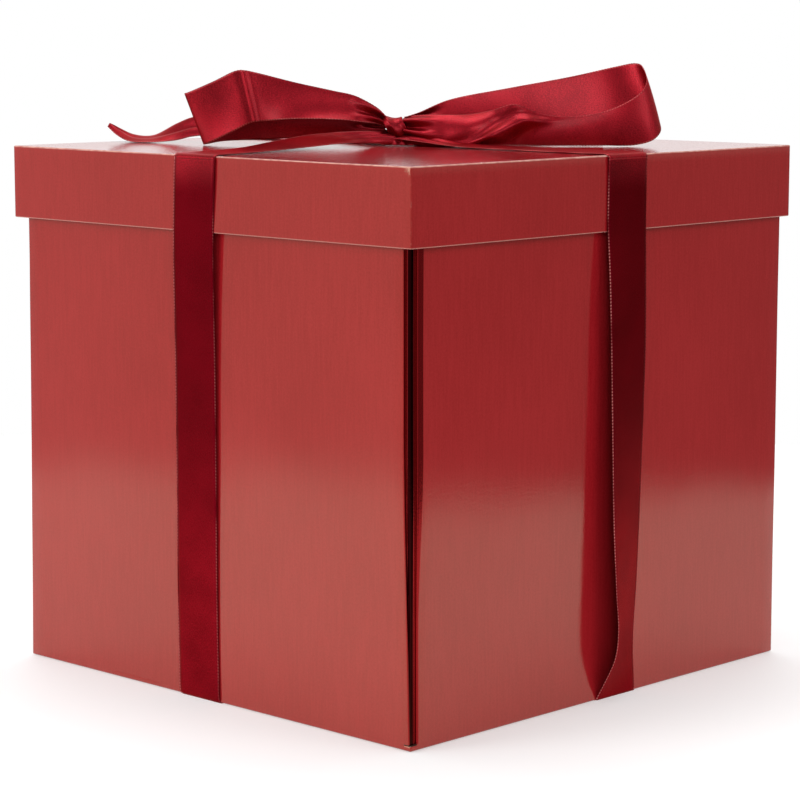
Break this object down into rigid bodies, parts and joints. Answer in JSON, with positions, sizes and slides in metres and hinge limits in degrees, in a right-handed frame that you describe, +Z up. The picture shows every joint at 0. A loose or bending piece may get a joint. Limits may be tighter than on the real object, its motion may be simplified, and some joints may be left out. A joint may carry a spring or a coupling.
{
  "type": "gift box",
  "caption": "Square lift-off-lid gift box of red laminated board, tied both ways with satin ribbon and a bow.",
  "frame": {"origin": "centre of the underside, on the surface the box stands on", "axes": "+Z up, out of the lid; -Y is the front wall, +X the right wall"},
  "size_m": [0.2576, 0.2576, 0.2798],
  "materials": {
    "laminated_paper": "gloss laminated",
    "greyboard": "matt",
    "lining_paper": "matt",
    "satin_ribbon": "satin"
  },
  "bodies": {
    "box": {"base_board": "greyboard", "wall_board_front": "greyboard", "wall_board_right": "greyboard", "wall_board_back": "greyboard", "wall_board_left": "greyboard", "base_wrap": "laminated_paper", "wall_wrap_front": "laminated_paper", "wall_wrap_right": "laminated_paper", "wall_wrap_back": "laminated_paper", "wall_wrap_left": "laminated_paper", "base_liner": "lining_paper", "wall_liner_front": "lining_paper", "wall_liner_right": "lining_paper", "wall_liner_back": "lining_paper", "wall_liner_left": "lining_paper", "hinge_strip_front": "lining_paper", "hinge_strip_right": "lining_paper", "hinge_strip_back": "lining_paper", "hinge_strip_left": "lining_paper", "ribbon_under_long": "satin_ribbon", "ribbon_under_left": "satin_ribbon", "ribbon_under_right": "satin_ribbon"},
    "lid": {"lid_top_board": "greyboard", "lid_rim_board_front": "greyboard", "lid_rim_board_right": "greyboard", "lid_rim_board_back": "greyboard", "lid_rim_board_left": "greyboard", "lid_wrap": "laminated_paper", "lid_liner": "lining_paper", "lid_rim_liner_front": "lining_paper", "lid_rim_liner_right": "lining_paper", "lid_rim_liner_back": "lining_paper", "lid_rim_liner_left": "lining_paper"},
    "ribbon": {"ribbon_fall_front": "satin_ribbon", "ribbon_fall_right": "satin_ribbon", "ribbon_fall_back": "satin_ribbon", "ribbon_fall_left": "satin_ribbon", "ribbon_band_front": "satin_ribbon", "ribbon_band_right": "satin_ribbon", "ribbon_band_back": "satin_ribbon", "ribbon_band_left": "satin_ribbon", "ribbon_crossing": "satin_ribbon", "bow_knot": "satin_ribbon", "bow_loop_left_front": "satin_ribbon", "bow_loop_left_end": "satin_ribbon", "bow_loop_left_back": "satin_ribbon", "bow_loop_right_front": "satin_ribbon", "bow_loop_right_end": "satin_ribbon", "bow_loop_right_back": "satin_ribbon", "bow_tail_left": "satin_ribbon", "bow_tail_right": "satin_ribbon"}
  },
  "joints": [
    {"name": "lid_lift", "type": "slide", "parent": "box", "child": "lid", "axis": [0, 0, 1], "range_m": [0, 0.26]},
    {"name": "ribbon_lift", "type": "slide", "parent": "lid", "child": "ribbon", "axis": [0, 0, 1], "range_m": [0, 0.26]}
  ]
}
